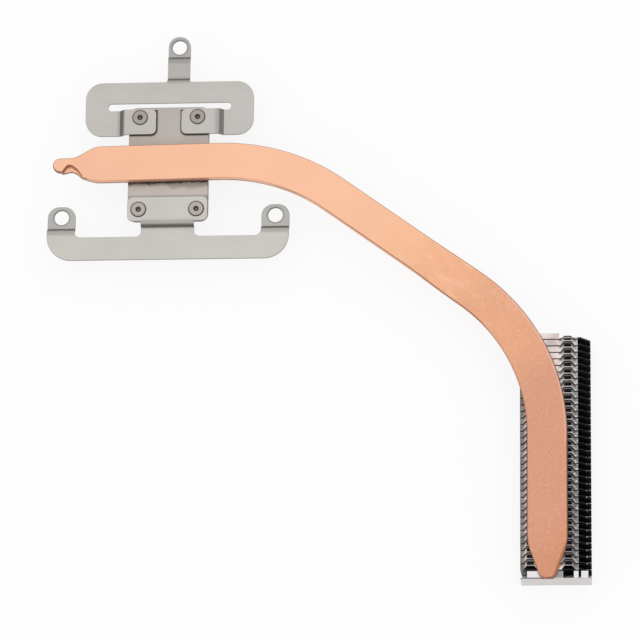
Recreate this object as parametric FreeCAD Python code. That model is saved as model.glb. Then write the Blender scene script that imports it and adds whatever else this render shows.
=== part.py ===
import FreeCAD, Part
import math
import os

# Console heatsink: a cold plate on the chip, two spring brackets staked to it,
# a flattened heat pipe, and a stack of interlocking folded fins at the pipe's far end.
# Millimetres, +Z up. The origin is the centre of the cold plate's underside, which presses on the chip.
# +X follows the pipe away from the plate, and the fin stack runs towards -Y.

# Cold plate
PLATE_WIDTH = 12.2
PLATE_LENGTH = 17.8
PLATE_THICK = 1.2
PLATE_CORNER = 1.2

# Bosses of the plate, staked with a punch so that they spread in the brackets' countersunk holes
BOSS_SIDE = 1.7
BOSS_END = 1.65
BOSS_FOOT_DIAMETER = 1.6
BOSS_TOP_DIAMETER = 2.3
BOSS_PROUD = 0.1
BOSS_CLEARANCE = 0.08
PUNCH_DIAMETER = 0.8
PUNCH_TIP_DIAMETER = 0.4
PUNCH_DEPTH = 0.3
PUNCH_SIDES = 8

# Spring sheet that both brackets are stamped from
SHEET = 0.4
BRACKET_DROP = 0.8
SCREW_DROP = 0.8
BEND_RUN = 0.85
ARM_BEND_RUN = 1.05
STRIP_BEND_RUN = 0.7
BEND_RADIUS = 0.35
SCREW_HOLE_DIAMETER = 2.25

# Upper bracket: a slotted ring whose lower side ends in two staked tabs, with one screw tab on a strip
TAB_SETBACK = 0.35
TAB_DEPTH = 3.95
TAB_GAP = 3.9
TAB_CORNER = 0.8
LEFT_TAB_OVERHANG = 0.5
RIGHT_TAB_OVERHANG = 1.3
SLOT_LENGTH = 18.8
SLOT_WIDTH = 1.18
SLOT_CORNER = 0.5
RING_SIDE = 3.5
RING_BAR = 3.32
RING_CORNER = 2.6
STRIP_X = 1.29
STRIP_WIDTH = 3.4
STRIP_FLAT = 2.85
STRIP_FILLET = 0.4
STRIP_HOLE_REACH = 1.5
STRIP_END_CORNER = 1.65

# Lower bracket: one wide staked tab, a neck, and a bar with a screw ear at each end
LOW_TAB_DEPTH = 3.78
LOW_TAB_OVERHANG = 0.17
LOW_TAB_CORNER = 0.8
NECK_WIDTH = 8.1
NECK_START = 0.3
NECK_LENGTH = 1.25
NECK_FILLET = 0.8
BAR_LENGTH = 36.9
BAR_HEIGHT = 3.6
BAR_CORNER = 3.75
EAR_WIDTH = 4.25
EAR_FILLET = 0.9
EAR_BEND_START = 0.8
EAR_HOLE_RISE = 3.32
EAR_END = 1.7
EAR_CORNER = 1.75

# Heat pipe: a round tube pressed flat, which keeps its girth, and bent in plan
TUBE_DIAMETER = 4.15
PIPE_PLATE_THICK = 1.5
PIPE_FIN_THICK = 0.9
PIPE_EASE = 0.29
PIPE_OFFSET = -0.12
PIPE_SKEW = 0.8
PIPE_SHOULDER = 10.36
PIPE_FIRST_CORNER = 17.55
DIAGONAL_ANGLE = 35.8
DIAGONAL_LENGTH = 49.1
FIRST_BEND_RADIUS = 29.0
SECOND_BEND_RADIUS = 27.5
STEP_LENGTH = 9.0
STEP_GAP = 1.0
NOSE_LENGTH = 5.32
NOSE_SHOULDER_RADIUS = 7.0
NOSE_TIP_WIDTH = 2.12
NOSE_TIP_CORNER = 1.35
STUB_NECK = 4.5
STUB_NECK_STEPS = 5
STUB_LENGTH = 1.55
STUB_WIDTH = 2.28
STUB_THICK = 1.2
STUB_LIFT = 0.1
CRIMP_PLACE = 0.2
CRIMP_ROOT = 0.18
CRIMP_FLAT = 0.5
CRIMP_OPENING = 2.1
CRIMP_BACK = 1.75
CRIMP_FRONT = 2.0
CRIMP_LIP = 0.35

# Fin stack: folded fins whose tongues reach into the fold of the fin before
FIN_COUNT = 36
FIN_PITCH = 1.0
FIN_SHEET = 0.2
FIN_HEIGHT = 5.0
FIN_WIDTH = 10.4
FIN_LEFT = 4.05
FIN_GAP = 0.16
FIN_CHAMFER_WIDTH = 1.3
FIN_CHAMFER_HEIGHT = 2.1
FLANGE_MARGIN = 1.8
STACK_LEAD = 0.5
TONGUE_INSET = 1.5
TONGUE_ROOT = 2.0
TONGUE_TIP = 1.0
TONGUE_REACH = 0.62
TONGUE_RIM = 0.22
WINDOW_WIDTH = 1.05
WINDOW_LENGTH = 0.46
FIRST_FLANGE_WIDTH = 3.1
LAST_BAY = 1.2
END_PLATE_THICK = 0.2
END_TAB_GAP = 1.55
END_TAB_INSET = 1.0
END_TAB_WIDTH = 0.7
CORNER_TAB_START = 0.35
CORNER_TAB_WIDTH = 1.05

# Levels of the sheets' undersides, stepping down from the plate's top towards the screws
TAB_Z = PLATE_THICK
BRACKET_Z = TAB_Z - BRACKET_DROP
SCREW_Z = BRACKET_Z - SCREW_DROP
STRIP_Z = BRACKET_Z - SCREW_DROP / 2

# Places along the plate
PLATE_END = PLATE_LENGTH / 2
BOSS_X = PLATE_WIDTH / 2 - BOSS_SIDE
BOSS_Y = PLATE_END - BOSS_END

# The top flange ends short of the web's chamfered corner, and its tongues keep to its two ends
FLANGE_WIDTH = FIN_WIDTH - FLANGE_MARGIN
TONGUE_CENTRES = [TONGUE_INSET, FLANGE_WIDTH - TONGUE_INSET]

# Reach past every outline, for sheets that an outline trims
SPARE = 1.0
TINY = 1e-6


def vector(x, y, z=0.0):
    return FreeCAD.Vector(x, y, z)


def direction(heading):
    return vector(math.cos(heading), math.sin(heading))


def line(first, last):
    return Part.LineSegment(first, last).toShape()


def rounded_face(corners):
    """Plan face through (x, y, radius) corners, with a tangent arc at each corner."""
    arcs = []
    for i, (x, y, radius) in enumerate(corners):
        corner = vector(x, y)
        before = (vector(*corners[i - 1][:2]) - corner).normalize()
        after = (vector(*corners[(i + 1) % len(corners)][:2]) - corner).normalize()
        half = before.getAngle(after) / 2
        reach = radius / math.tan(half)
        middle = (before + after).normalize() * (radius / math.sin(half) - radius)
        arcs.append((corner + before * reach, corner + middle, corner + after * reach, radius))
    edges = []
    for i, (first, middle, last, radius) in enumerate(arcs):
        following = arcs[(i + 1) % len(arcs)][0]
        if radius > 0:
            edges.append(Part.Arc(first, middle, last).toShape())
        if last.distanceToPoint(following) > TINY:
            edges.append(line(last, following))
    return Part.Face(Part.Wire(edges))


def polygon_face(points):
    """Flat face through points, joined by straight edges."""
    return Part.Face(Part.makePolygon(points + points[:1]))


def solid_between(first, last):
    """Solid with flat sides between two sections that have the same number of points."""
    sides = [polygon_face([first[i - 1], first[i], last[i], last[i - 1]]) for i in range(len(first))]
    return Part.makeSolid(Part.makeShell(sides + [polygon_face(first), polygon_face(last)]))


def regular_polygon(diameter, level):
    """Corners of the punch's outline at a level."""
    turns = [2 * math.pi * i / PUNCH_SIDES for i in range(PUNCH_SIDES)]
    return [direction(turn) * (diameter / 2) + vector(0, 0, level) for turn in turns]


def prism(face, bottom, height):
    """Solid above a plan face."""
    solid = face.extrude(vector(0, 0, height))
    solid.translate(vector(0, 0, bottom))
    return solid


def mirrored(half):
    """Closed outline from its right half, listed from the top down."""
    left = [(-x, y, radius) for x, y, radius in reversed(half)]
    return half + left


def arc(point_at, first, last):
    """Arc through the points that a function gives for the first, middle and last angle."""
    return Part.Arc(point_at(first), point_at((first + last) / 2), point_at(last)).toShape()


def surface_edges(flats, offset, place):
    """One surface of a sheet that steps between flats (start, end, middle level) over rounded ramps."""
    edges = []
    for i, (start, end, level) in enumerate(flats):
        edges.append(line(place(start, level + offset), place(end, level + offset)))
        if i + 1 == len(flats):
            break
        next_start, _, next_level = flats[i + 1]
        run = next_start - end
        rise = next_level - level
        sign = math.copysign(1.0, rise)
        spread = 2 * BEND_RADIUS - abs(rise)
        slope = math.asin(2 * BEND_RADIUS / math.hypot(run, spread)) - math.atan2(spread, run)

        def on_first(angle):
            r = BEND_RADIUS - sign * offset
            climb = sign * (BEND_RADIUS - r * math.cos(angle))
            return place(end + r * math.sin(angle), level + climb)

        def on_second(angle):
            r = BEND_RADIUS + sign * offset
            drop = sign * (BEND_RADIUS - r * math.cos(angle))
            return place(next_start - r * math.sin(angle), next_level - drop)

        edges.append(arc(on_first, 0, slope))
        edges.append(line(on_first(slope), on_second(slope)))
        edges.append(arc(on_second, slope, 0))
    return edges


def bent_sheet(flats, place, width):
    """Sheet of even thickness that follows flats (start, end, underside), extruded by the width vector."""
    middle = [(start, end, underside + SHEET / 2) for start, end, underside in flats]
    lower = surface_edges(middle, -SHEET / 2, place)
    upper = surface_edges(middle, SHEET / 2, place)
    start = line(lower[0].Vertexes[0].Point, upper[0].Vertexes[0].Point)
    end = line(lower[-1].Vertexes[-1].Point, upper[-1].Vertexes[-1].Point)
    wire = Part.Wire(Part.__sortEdges__(lower + [end] + upper + [start]))
    return Part.Face(wire).extrude(width)


def along_x(y):
    return lambda u, z: vector(u, y, z)


def along_y(x):
    return lambda u, z: vector(x, u, z)


def boss_radius(height):
    """Radius of a staked boss at a height above the plate."""
    spread = (BOSS_TOP_DIAMETER - BOSS_FOOT_DIAMETER) / 2
    return BOSS_FOOT_DIAMETER / 2 + spread * height / (SHEET + BOSS_PROUD)


def staked(bracket, y):
    """Cuts the countersunk holes for the two bosses at one end of the plate."""
    foot = boss_radius(0) + BOSS_CLEARANCE
    top = boss_radius(SHEET) + BOSS_CLEARANCE
    holes = [Part.makeCone(foot, top, SHEET, vector(x, y, TAB_Z)) for x in (-BOSS_X, BOSS_X)]
    return bracket.cut(holes)


def screw_holes(bracket, places):
    """Cuts round holes for the screws, straight down through the bracket."""
    bottom = SCREW_Z - SPARE
    holes = [
        Part.makeCylinder(SCREW_HOLE_DIAMETER / 2, SHEET + 2 * SPARE, vector(x, y, bottom)) for x, y in places
    ]
    return bracket.cut(holes)


def base_plate():
    """Plate with four staked bosses, each spread to a cone with a punch mark in its top."""
    blank = Part.makeBox(PLATE_WIDTH, PLATE_LENGTH, PLATE_THICK, vector(-PLATE_WIDTH / 2, -PLATE_END))
    uprights = [edge for edge in blank.Edges if edge.BoundBox.ZLength > PLATE_THICK / 2]
    plate = blank.makeFillet(PLATE_CORNER, uprights)
    top = PLATE_THICK + SHEET + BOSS_PROUD
    cone = Part.makeCone(boss_radius(0), BOSS_TOP_DIAMETER / 2, SHEET + BOSS_PROUD, vector(0, 0, PLATE_THICK))
    punch = solid_between(
        regular_polygon(PUNCH_DIAMETER, top),
        regular_polygon(PUNCH_TIP_DIAMETER, top - PUNCH_DEPTH),
    )
    boss = cone.cut(punch)
    places = [vector(x, y) for x in (-BOSS_X, BOSS_X) for y in (-BOSS_Y, BOSS_Y)]
    return plate.fuse([boss.translated(place) for place in places]).removeSplitter()


def upper_bracket():
    left_bend = -PLATE_WIDTH / 2 - LEFT_TAB_OVERHANG
    right_bend = PLATE_WIDTH / 2 + RIGHT_TAB_OVERHANG
    slot = SLOT_LENGTH / 2
    side = slot + RING_SIDE
    slot_low = PLATE_END - TAB_SETBACK
    slot_high = slot_low + SLOT_WIDTH
    near = slot_low - TAB_DEPTH
    far = slot_high + RING_BAR
    strip_left = STRIP_X - STRIP_WIDTH / 2
    strip_right = STRIP_X + STRIP_WIDTH / 2
    first_bend = far
    second_bend = first_bend + STRIP_BEND_RUN + STRIP_FLAT
    hole_y = second_bend + STRIP_BEND_RUN + STRIP_HOLE_REACH
    end = hole_y + STRIP_WIDTH / 2
    gap = TAB_GAP / 2
    outline = rounded_face([
        (-gap, near, TAB_CORNER),
        (-side, near, RING_CORNER),
        (-side, far, RING_CORNER),
        (strip_left, far, STRIP_FILLET),
        (strip_left, end, STRIP_END_CORNER),
        (strip_right, end, STRIP_END_CORNER),
        (strip_right, far, STRIP_FILLET),
        (side, far, RING_CORNER),
        (side, near, RING_CORNER),
        (gap, near, TAB_CORNER),
        (gap, slot_low, TAB_CORNER),
        (slot, slot_low, SLOT_CORNER),
        (slot, slot_high, SLOT_CORNER),
        (-slot, slot_high, SLOT_CORNER),
        (-slot, slot_low, SLOT_CORNER),
        (-gap, slot_low, TAB_CORNER),
    ])
    mid_slot = (slot_low + slot_high) / 2
    arms = bent_sheet(
        [
            (-side - SPARE, left_bend - ARM_BEND_RUN, BRACKET_Z),
            (left_bend, right_bend, TAB_Z),
            (right_bend + ARM_BEND_RUN, side + SPARE, BRACKET_Z),
        ],
        along_x(near - SPARE),
        vector(0, mid_slot - near + SPARE),
    )
    bar = bent_sheet(
        [
            (mid_slot, first_bend, BRACKET_Z),
            (first_bend + STRIP_BEND_RUN, second_bend, STRIP_Z),
            (second_bend + STRIP_BEND_RUN, end + SPARE, SCREW_Z),
        ],
        along_y(-side - SPARE),
        vector(2 * (side + SPARE), 0),
    )
    trim = prism(outline, SCREW_Z - SPARE, TAB_Z + SHEET - SCREW_Z + 2 * SPARE)
    bracket = trim.common(arms.fuse(bar)).removeSplitter()
    return screw_holes(staked(bracket, BOSS_Y), [(STRIP_X, hole_y)])


def lower_bracket():
    tab_side = PLATE_WIDTH / 2
    tab_low = -PLATE_END - LOW_TAB_OVERHANG
    tab_high = tab_low + LOW_TAB_DEPTH
    neck = NECK_WIDTH / 2
    neck_high = -PLATE_END - NECK_START
    neck_low = neck_high - BEND_RUN
    bar_top = neck_low - NECK_LENGTH
    bar_low = bar_top - BAR_HEIGHT
    bar = BAR_LENGTH / 2
    limb = bar - EAR_WIDTH
    ear_bend = bar_top + EAR_BEND_START
    hole_y = bar_top + EAR_HOLE_RISE
    ear_end = hole_y + EAR_END
    outline = rounded_face(mirrored([
        (tab_side, tab_high, LOW_TAB_CORNER),
        (tab_side, tab_low, LOW_TAB_CORNER),
        (neck, tab_low, 0),
        (neck, bar_top, NECK_FILLET),
        (limb, bar_top, EAR_FILLET),
        (limb, ear_end, EAR_CORNER),
        (bar, ear_end, EAR_CORNER),
        (bar, bar_low, BAR_CORNER),
    ]))
    split = (neck + limb) / 2
    main = bent_sheet(
        [(bar_low - SPARE, neck_low, BRACKET_Z), (neck_high, tab_high + SPARE, TAB_Z)],
        along_y(-split),
        vector(2 * split, 0),
    )
    ear = bent_sheet(
        [(bar_low - SPARE, ear_bend, BRACKET_Z), (ear_bend + BEND_RUN, ear_end + SPARE, SCREW_Z)],
        along_y(split),
        vector(bar - split + SPARE, 0),
    )
    other_ear = ear.mirror(vector(0, 0), vector(1, 0))
    trim = prism(outline, SCREW_Z - SPARE, TAB_Z + SHEET - SCREW_Z + 2 * SPARE)
    bracket = trim.common(main.fuse([ear, other_ear])).removeSplitter()
    ear_x = (bar + limb) / 2
    return screw_holes(staked(bracket, -BOSS_Y), [(-ear_x, hole_y), (ear_x, hole_y)])


def flat_width(thick):
    """Width of the round tube once it is pressed to a thickness, at the same girth."""
    return (math.pi * TUBE_DIAMETER - (math.pi - 2) * thick) / 2


def eased_side(half, thick):
    """Side of the flat pipe from its underside to its top, eased at both edges: (distance out, height)."""
    ease = PIPE_EASE * thick
    return [(half - ease, 0), (half, ease), (half, thick - ease), (half - ease, thick)]


def pipe_section(point, heading, width, thick, lift=0.0):
    """Flat section with eased edges across a heading, standing on the plate's top."""
    across = direction(heading + math.pi / 2)
    foot = point + vector(0, 0, PLATE_THICK + lift)
    side = eased_side(width / 2, thick)
    right = [foot + across * out + vector(0, 0, height) for out, height in side]
    left = [foot - across * out + vector(0, 0, height) for out, height in reversed(side)]
    return right + left


def pipe_run(start, heading, length, width, thick, lift=0.0):
    """Straight stretch of pipe."""
    return polygon_face(pipe_section(start, heading, width, thick, lift)).extrude(direction(heading) * length)


def pipe_bend(start, heading, radius, turn, width, thick):
    """Stretch of pipe that turns clockwise in plan."""
    centre = start + direction(heading - math.pi / 2) * radius
    section = polygon_face(pipe_section(start, heading, width, thick))
    return section.revolve(centre, vector(0, 0, 1), -math.degrees(turn))


def s_curve(fraction):
    """Share of a change that starts and ends gently."""
    return fraction * fraction * (3 - 2 * fraction)


def stub_neck(start, heading, first_size, last_size):
    """Stretch of pipe that draws in between two sizes (width, thickness, lift)."""
    sections = []
    for i in range(STUB_NECK_STEPS + 1):
        fraction = i / STUB_NECK_STEPS
        size = [a + (b - a) * s_curve(fraction) for a, b in zip(first_size, last_size)]
        sections.append(pipe_section(start + direction(heading) * (STUB_NECK * fraction), heading, *size))
    solids = [solid_between(first, last) for first, last in zip(sections, sections[1:])]
    return solids[0].fuse(solids[1:])


def stub_bead(centre):
    """Disc with an eased edge, which closes the fill stub."""
    side = [vector(out, 0, height) for out, height in eased_side(STUB_WIDTH / 2, STUB_THICK)]
    profile = polygon_face([vector(0, 0, 0)] + side + [vector(0, 0, STUB_THICK)])
    disc = profile.revolve(vector(0, 0), vector(0, 0, 1), 360)
    return disc.translated(centre + vector(0, 0, PLATE_THICK + STUB_LIFT))


def pipe_route():
    """Corner points of the pipe's axis: plate centre line, first bend, second bend."""
    skew = math.radians(PIPE_SKEW)
    over_plate = vector(0, PIPE_OFFSET)
    first = over_plate + direction(skew) * PIPE_FIRST_CORNER
    second = first + direction(-math.radians(DIAGONAL_ANGLE)) * DIAGONAL_LENGTH
    return skew, over_plate, first, second


def stack_end():
    """Y of the end plate's outer face."""
    first_web = pipe_route()[3].y + STACK_LEAD
    last_web = first_web - (FIN_COUNT - 1) * FIN_PITCH
    return last_web - LAST_BAY - END_PLATE_THICK


def pipe_left_end(over_plate, skew, wide):
    """Shoulder, fill stub with its round welded end, and the crushed crimp beside it."""
    back = skew + math.pi
    shoulder = over_plate + direction(back) * PIPE_SHOULDER
    neck = shoulder + direction(back) * STUB_NECK
    weld = neck + direction(back) * STUB_LENGTH
    pipe_size = (wide, PIPE_PLATE_THICK, 0)
    stub_size = (STUB_WIDTH, STUB_THICK, STUB_LIFT)
    taper = stub_neck(shoulder, back, pipe_size, stub_size)
    stub = pipe_run(neck, back, STUB_LENGTH, STUB_WIDTH, STUB_THICK, STUB_LIFT)
    aside = direction(back + math.pi / 2)
    back_root = neck + direction(back) * CRIMP_PLACE + aside * CRIMP_ROOT
    front_root = back_root - direction(back) * CRIMP_FLAT
    opening = aside * CRIMP_OPENING
    wedge = polygon_face([
        back_root,
        back_root + opening + direction(back) * CRIMP_BACK,
        front_root + opening - direction(back) * CRIMP_FRONT,
        front_root,
    ])
    crimp = prism(wedge, PLATE_THICK + CRIMP_LIP, PIPE_PLATE_THICK)
    return taper.fuse([stub, stub_bead(weld)]).cut(crimp)


def pipe_right_end(start, wide):
    """Straight stretch over the fins whose sides draw in to a round tip, eased along its outline."""
    tip = stack_end()
    outline = rounded_face(mirrored([
        (wide / 2, start.y, 0),
        (wide / 2, tip + NOSE_LENGTH, NOSE_SHOULDER_RADIUS),
        (NOSE_TIP_WIDTH / 2, tip, NOSE_TIP_CORNER),
    ]))
    blank = prism(outline.translated(vector(start.x, 0)), PLATE_THICK, PIPE_FIN_THICK)
    level = [edge for edge in blank.Edges if edge.BoundBox.ZLength < TINY]
    rims = [edge for edge in level if edge.BoundBox.YMin < start.y - TINY]
    return blank.makeChamfer(PIPE_EASE * PIPE_FIN_THICK, rims)


def heat_pipe():
    skew, over_plate, first, second = pipe_route()
    diagonal = -math.radians(DIAGONAL_ANGLE)
    down = -math.pi / 2
    wide_plate = flat_width(PIPE_PLATE_THICK)
    wide_fins = flat_width(PIPE_FIN_THICK)
    first_turn = skew - diagonal
    second_turn = diagonal - down
    first_tangent = FIRST_BEND_RADIUS * math.tan(first_turn / 2)
    second_tangent = SECOND_BEND_RADIUS * math.tan(second_turn / 2)

    shoulder = over_plate - direction(skew) * PIPE_SHOULDER
    bend_start = first - direction(skew) * first_tangent
    bend_end = first + direction(diagonal) * first_tangent
    second_start = second - direction(diagonal) * second_tangent
    step_end = second_start - direction(diagonal) * STEP_GAP
    step_start = step_end - direction(diagonal) * STEP_LENGTH
    second_end = second + direction(down) * second_tangent

    pieces = [
        pipe_run(shoulder, skew, (bend_start - shoulder).Length, wide_plate, PIPE_PLATE_THICK),
        pipe_bend(bend_start, skew, FIRST_BEND_RADIUS, first_turn, wide_plate, PIPE_PLATE_THICK),
        pipe_run(bend_end, diagonal, (step_start - bend_end).Length, wide_plate, PIPE_PLATE_THICK),
        solid_between(
            pipe_section(step_start, diagonal, wide_plate, PIPE_PLATE_THICK),
            pipe_section(step_end, diagonal, wide_fins, PIPE_FIN_THICK),
        ),
        pipe_run(step_end, diagonal, STEP_GAP, wide_fins, PIPE_FIN_THICK),
        pipe_bend(second_start, diagonal, SECOND_BEND_RADIUS, second_turn, wide_fins, PIPE_FIN_THICK),
        pipe_right_end(second_end, wide_fins),
    ]
    return pipe_left_end(over_plate, skew, wide_plate).fuse(pieces).removeSplitter()


def notch_widths():
    """Widths of the notch that takes a tongue, at the fold and at its inner end, with the gap all round."""
    side = math.hypot(TONGUE_REACH, (TONGUE_ROOT - TONGUE_TIP) / 2)
    spread = FIN_GAP * side / TONGUE_REACH
    slope = (TONGUE_ROOT - TONGUE_TIP) / 2 / TONGUE_REACH
    at_fold = TONGUE_ROOT + 2 * (spread - slope * FIN_GAP)
    at_end = TONGUE_TIP + 2 * (spread - slope * FIN_GAP)
    return at_fold, at_end


def fin_web():
    """Upright sheet of a fin, with its top let down where the next fin's tongues rest on it."""
    at_fold = notch_widths()[0]
    floor = -FIN_SHEET
    points = [
        vector(0, 0, -FIN_HEIGHT),
        vector(FIN_WIDTH, 0, -FIN_HEIGHT),
        vector(FIN_WIDTH, 0, -FIN_CHAMFER_HEIGHT),
        vector(FIN_WIDTH - FIN_CHAMFER_WIDTH, 0, 0),
    ]
    for centre in reversed(TONGUE_CENTRES):
        left = centre - at_fold / 2
        right = centre + at_fold / 2
        points += [vector(right, 0, 0), vector(right, 0, floor), vector(left, 0, floor), vector(left, 0, 0)]
    points.append(vector(0, 0, 0))
    return polygon_face(points).extrude(vector(0, FIN_SHEET))


def flange_depth():
    return FIN_PITCH - FIN_GAP


def flange_block(x0, x1, depth, bottom):
    """Plain folded edge from x0 to x1, with its underside at the given level."""
    return Part.makeBox(x1 - x0, depth, FIN_SHEET, vector(x0, 0, bottom))


def locking_flange():
    """Top flange with two windowed tongues at its free edge and two notches at its fold."""
    depth = flange_depth()
    at_fold, at_end = notch_widths()
    tip = depth + TONGUE_REACH
    fold_side = [vector(0, 0)]
    free_side = [vector(FLANGE_WIDTH, depth)]
    for centre in TONGUE_CENTRES:
        fold_side += [
            vector(centre - at_fold / 2, 0),
            vector(centre - at_end / 2, TONGUE_REACH),
            vector(centre + at_end / 2, TONGUE_REACH),
            vector(centre + at_fold / 2, 0),
        ]
    for centre in reversed(TONGUE_CENTRES):
        free_side += [
            vector(centre + TONGUE_ROOT / 2, depth),
            vector(centre + TONGUE_TIP / 2, tip),
            vector(centre - TONGUE_TIP / 2, tip),
            vector(centre - TONGUE_ROOT / 2, depth),
        ]
    outline = polygon_face(fold_side + [vector(FLANGE_WIDTH, 0)] + free_side + [vector(0, depth)])
    flange = prism(outline, -FIN_SHEET, FIN_SHEET)
    window_end = tip - TONGUE_RIM
    for centre in TONGUE_CENTRES:
        corner = vector(centre - WINDOW_WIDTH / 2, window_end - WINDOW_LENGTH, -FIN_SHEET)
        flange = flange.cut(Part.makeBox(WINDOW_WIDTH, WINDOW_LENGTH, FIN_SHEET, corner))
    return flange


def fin(is_first):
    """One fin in its own frame: outer face of the web at y = 0, top at z = 0, left edge at x = 0."""
    foot = flange_block(0, FIN_WIDTH, flange_depth(), -FIN_HEIGHT)
    if is_first:
        middle = FLANGE_WIDTH / 2
        flange = flange_block(
            middle - FIRST_FLANGE_WIDTH / 2, middle + FIRST_FLANGE_WIDTH / 2, flange_depth(), -FIN_SHEET
        )
    else:
        flange = locking_flange()
    return fin_web().fuse([flange, foot]).removeSplitter()


def end_plate():
    """Plain plate that closes the stack, with short tabs folded over the last bay."""
    plate = Part.makeBox(FIN_WIDTH, END_PLATE_THICK, FIN_HEIGHT, vector(0, 0, -FIN_HEIGHT))
    depth = END_PLATE_THICK + LAST_BAY - FIN_GAP
    gap_centre = TONGUE_CENTRES[1]
    long_tab = flange_block(END_TAB_INSET, gap_centre - END_TAB_GAP / 2, depth, -FIN_SHEET)
    short_start = gap_centre + END_TAB_GAP / 2
    short_tab = flange_block(short_start, short_start + END_TAB_WIDTH, depth, -FIN_SHEET)
    corner_start = FLANGE_WIDTH + CORNER_TAB_START
    corner_tab = flange_block(corner_start, corner_start + CORNER_TAB_WIDTH, depth, -FIN_SHEET)
    foot = flange_block(0, FIN_WIDTH, depth, -FIN_HEIGHT)
    return plate.fuse([long_tab, short_tab, corner_tab, foot]).removeSplitter()


def stacked_fins():
    """Fins and end plate in their places under the pipe, by node name."""
    corner = pipe_route()[3]
    left = corner.x - FIN_LEFT
    nodes = {}
    first = fin(True)
    other = fin(False)
    for i in range(FIN_COUNT):
        shape = first if i == 0 else other
        place = vector(left, corner.y + STACK_LEAD - i * FIN_PITCH, PLATE_THICK)
        nodes[f"fin_{i + 1:02d}"] = shape.translated(place)
    nodes["end_plate"] = end_plate().translated(vector(left, stack_end(), PLATE_THICK))
    return nodes


def main():
    nodes = {
        "base_plate": base_plate(),
        "heat_pipe": heat_pipe(),
        "upper_bracket": upper_bracket(),
        "lower_bracket": lower_bracket(),
    }
    nodes.update(stacked_fins())
    os.makedirs("parts", exist_ok=True)
    for name, shape in nodes.items():
        shape.exportStep(os.path.join("parts", name + ".step"))
        print(name, "solids", len(shape.Solids), "valid", shape.isValid(), "volume", round(shape.Volume, 2))


main()
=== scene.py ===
"""Looks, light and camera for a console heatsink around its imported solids."""
import math

import bpy
from mathutils import Matrix, Vector, noise

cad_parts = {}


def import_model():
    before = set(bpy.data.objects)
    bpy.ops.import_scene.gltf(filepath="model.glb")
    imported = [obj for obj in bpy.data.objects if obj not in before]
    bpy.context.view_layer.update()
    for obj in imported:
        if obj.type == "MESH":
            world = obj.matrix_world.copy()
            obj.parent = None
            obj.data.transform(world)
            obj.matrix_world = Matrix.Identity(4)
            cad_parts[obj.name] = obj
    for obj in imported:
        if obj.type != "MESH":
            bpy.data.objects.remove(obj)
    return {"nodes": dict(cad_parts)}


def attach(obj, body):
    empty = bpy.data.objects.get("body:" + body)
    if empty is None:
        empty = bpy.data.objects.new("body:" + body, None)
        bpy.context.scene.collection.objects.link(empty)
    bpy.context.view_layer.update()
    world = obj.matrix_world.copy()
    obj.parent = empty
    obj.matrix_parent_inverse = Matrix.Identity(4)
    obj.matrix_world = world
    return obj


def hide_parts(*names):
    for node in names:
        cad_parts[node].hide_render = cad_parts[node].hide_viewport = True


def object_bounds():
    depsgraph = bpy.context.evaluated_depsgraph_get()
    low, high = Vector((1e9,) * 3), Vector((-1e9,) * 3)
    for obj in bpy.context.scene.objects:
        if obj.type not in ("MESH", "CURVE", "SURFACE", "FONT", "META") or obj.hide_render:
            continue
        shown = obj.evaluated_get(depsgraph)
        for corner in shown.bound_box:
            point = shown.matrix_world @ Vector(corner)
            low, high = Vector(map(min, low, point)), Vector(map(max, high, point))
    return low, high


MM = 0.001

# Camera: it looks straight down, but for a tilt towards +X and -Y
CAMERA_RIGHT_TILT = math.radians(5.0)
CAMERA_FRONT_TILT = math.radians(14.0)
CAMERA_ROLL = math.radians(-0.55)
CAMERA_DISTANCE = 650 * MM
CAMERA_TARGET = Vector((23.36, -24.77, 1.2)) * MM
FIELD_WIDTH = 96 * MM
SENSOR = 36.0

# Floor: half its width, and how much of it is plain white to what looks at it
FLOOR_HALF_WIDTH = 1.5
WHITE_SHARE = 0.86

# The solids' skins: corners that are welded, faces that are flat together, and edges that are broken
WELD_DISTANCE = 0.001 * MM
FLAT_ANGLE = math.radians(0.5)
EDGE_ANGLE = math.radians(25)

# All lengths from here on are in millimetres, and all angles in degrees

# Cold plate, bosses, tabs and screw holes, as in the solids
PLATE_TOP, PLATE_HALF_WIDTH = 1.2, 6.1
BRACKET_TOP = 1.6
BOSS_X, BOSS_Y = 4.4, 7.25
TAB_INNER, TAB_LOW, TAB_CORNER = 1.95, 4.6, 0.8
LOW_TAB_HIGH = -5.29
EAR_HOLE_X, EAR_HOLE_Y = 16.325, -7.98
STRIP_HOLE_X, STRIP_HOLE_Y = 1.29, 18.8

# Bends of the brackets, where the sheet is shaded
ARM_BENDS_X, ARM_Y = (-7.45, 7.6), 6.6
STRIP_BENDS_Y = (13.4, 16.7)
NECK_BEND_Y, NECK_HALF_WIDTH = -9.5, 4.1
EAR_BEND_Y, EAR_INNER_X = -10.4, 13.9

# Heat pipe, as in the solids
TUBE_DIAMETER = 4.15
PIPE_PLATE_THICK, PIPE_FIN_THICK = 1.5, 0.9
PIPE_OFFSET, PIPE_SKEW = -0.12, 0.8
PIPE_START, PIPE_FIRST_CORNER = -17.55, 17.55
DIAGONAL_ANGLE, DIAGONAL_LENGTH = 35.8, 49.1
FIRST_BEND_RADIUS, SECOND_BEND_RADIUS = 29.0, 27.5
STEP_LENGTH, STEP_GAP = 9.0, 1.0
STACK_END = -64.5
NOSE_LENGTH, NOSE_SHOULDER_RADIUS = 5.32, 7.0
NOSE_TIP_HALF, NOSE_TIP_CORNER = 1.06, 1.35
STUB_RADIUS, STUB_END, STUB_THICK, STUB_LIFT = 1.14, 2.69, 1.2, 0.1
SHOULDER_LENGTH, SHOULDER_BULGE = 4.5, 0.6

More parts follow.
